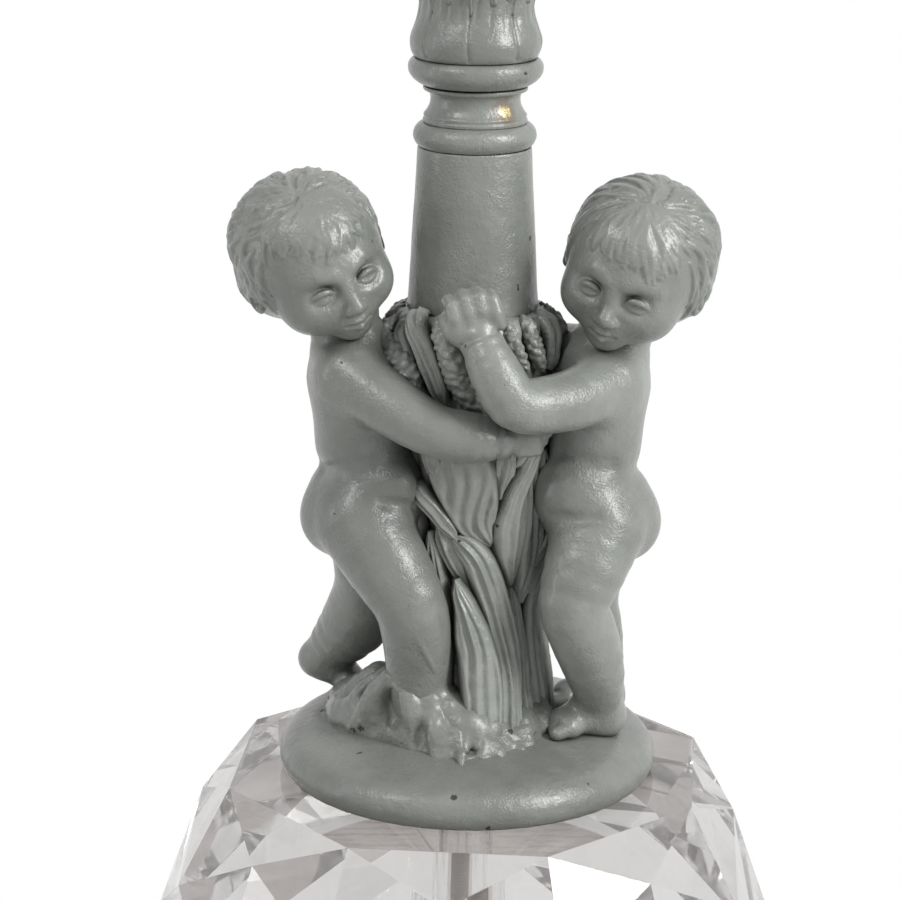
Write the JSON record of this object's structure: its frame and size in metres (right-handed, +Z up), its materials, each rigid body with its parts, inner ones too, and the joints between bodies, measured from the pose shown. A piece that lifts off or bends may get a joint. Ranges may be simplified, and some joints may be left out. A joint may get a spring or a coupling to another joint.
{
  "type": "figural table lamp",
  "caption": "Figural table lamp: putti hugging a wheat sheaf on a domed disc above a cut glass ball, with a round foot, a leaf cup and a turn knob lamp socket.",
  "frame": {"origin": "centre of the foot's felt pad on the table", "axes": "+Z up along the threaded pipe, -Y towards the viewer, +X to the viewer's right, where the switch knob points"},
  "size_m": [0.1614, 0.1614, 0.4264],
  "materials": {
    "grey_paint": "satin grey paint, worn and chipped",
    "cut_glass": "polished facets",
    "dark_steel": "rolled thread, dark brown with age",
    "steel": "plain zinc plate",
    "brass": "satin, lightly aged",
    "contact_metal": "drawn sheet",
    "black_plastic": "moulded",
    "bush_plastic": "moulded, translucent white",
    "gasket": "thin pale sheet",
    "felt": "dark green felt",
    "liner_paper": "pressed insulating paper"
  },
  "bodies": {
    "lamp": {"felt_pad": "felt", "foot_casting": "grey_paint", "inlet_bushing": "black_plastic", "foot_nut": "steel", "foot_lock_washer": "steel", "foot_flat_washer": "steel", "lower_gasket": "gasket", "lower_bore_bush": "bush_plastic", "glass_ball": "cut_glass", "upper_bore_bush": "bush_plastic", "upper_gasket": "gasket", "threaded_pipe": "dark_steel", "figure_disc": "grey_paint", "wheat_sheaf": "grey_paint", "left_putto": "grey_paint", "right_putto": "grey_paint", "tapered_column": "grey_paint", "lower_bead_ring": "grey_paint", "cove_spool": "grey_paint", "upper_bead_ring": "grey_paint", "leaf_cup": "grey_paint", "cup_washer": "steel", "cup_nut": "steel", "socket_cap": "brass", "cap_set_screw": "steel", "socket_base": "black_plastic", "socket_shell": "brass", "shell_liner": "liner_paper", "screw_shell": "contact_metal", "centre_contact": "brass", "terminal_screws": "steel"},
    "knob": {"switch_shaft": "brass", "switch_knob": "black_plastic"}
  },
  "joints": [
    {"name": "switch_turn", "type": "hinge", "parent": "lamp", "child": "knob", "pos_m": [0, 0, 0.3959], "axis": [1, 0, 0], "continuous": true}
  ]
}
